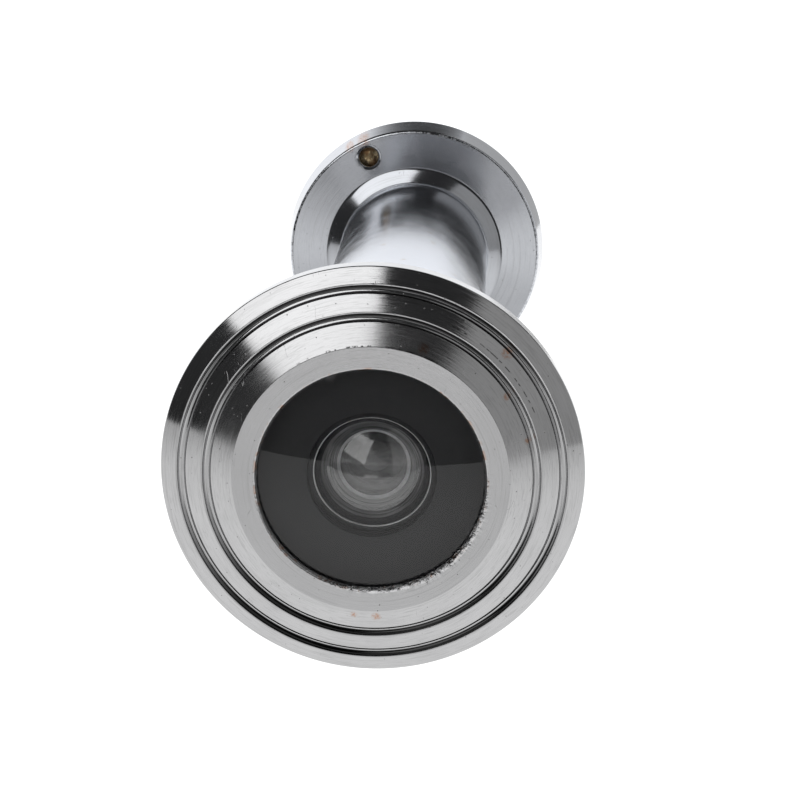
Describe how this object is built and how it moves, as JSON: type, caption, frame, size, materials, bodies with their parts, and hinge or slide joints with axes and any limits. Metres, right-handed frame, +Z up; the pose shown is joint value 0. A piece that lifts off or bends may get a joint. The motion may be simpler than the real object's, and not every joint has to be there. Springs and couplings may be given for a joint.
{
  "type": "door viewer",
  "caption": "Round chromed door viewer: ringed outdoor flange with a wide-angle lens, screw-adjusted barrel, and an indoor flange with a swinging cover over the eyepiece.",
  "frame": {"origin": "on the line of sight, in the plane where the outdoor flange seats on the door's outer face", "axes": "+Y along the line of sight from outdoors to indoors, +Z up, the outdoor lens faces -Y"},
  "size_m": [0.026, 0.0682, 0.026],
  "materials": {
    "chrome": "polished, with turning marks",
    "satin_chrome": "satin",
    "barrel_metal": "machined thread",
    "lens_glass": "polished",
    "black_plastic": "matte",
    "rubber": "matte",
    "rivet_brass": "dull, peened",
    "fibre": "fibre washer",
    "spring_steel": "spring steel"
  },
  "bodies": {
    "outdoor_half": {"front_flange": "chrome", "threaded_barrel": "barrel_metal", "front_lens": "lens_glass", "lens_mask": "black_plastic", "lens_cell": "black_plastic", "second_lens": "lens_glass", "lens_spacer": "black_plastic", "third_lens": "lens_glass", "cushion_ring": "rubber", "cell_retaining_ring": "black_plastic"},
    "eyepiece_slide": {"eyepiece_lens": "lens_glass"},
    "indoor_half": {"rear_flange": "chrome", "threaded_sleeve": "satin_chrome", "eyepiece_holder": "black_plastic", "eyepiece_retaining_ring": "black_plastic", "cover_rivet": "rivet_brass", "friction_washer": "fibre", "wave_washer": "spring_steel"},
    "cover": {"privacy_cover": "chrome"}
  },
  "joints": [
    {"name": "eyepiece_travel", "type": "slide", "parent": "outdoor_half", "child": "eyepiece_slide", "axis": [0, 1, 0], "range_m": [-0.025, 0.002]},
    {"name": "collar_turn", "type": "hinge", "parent": "eyepiece_slide", "child": "indoor_half", "pos_m": [0, 0.06, 0], "axis": [0, 1, 0], "range_deg": [-9000, 720]},
    {"name": "cover_swing", "type": "hinge", "parent": "indoor_half", "child": "cover", "pos_m": [-0.00406, 0.063, 0.0087], "axis": [0, 1, 0], "continuous": true}
  ],
  "couplings": [
    {"joint": "collar_turn", "follows": "eyepiece_travel", "rad_per_m": 6283.2}
  ]
}
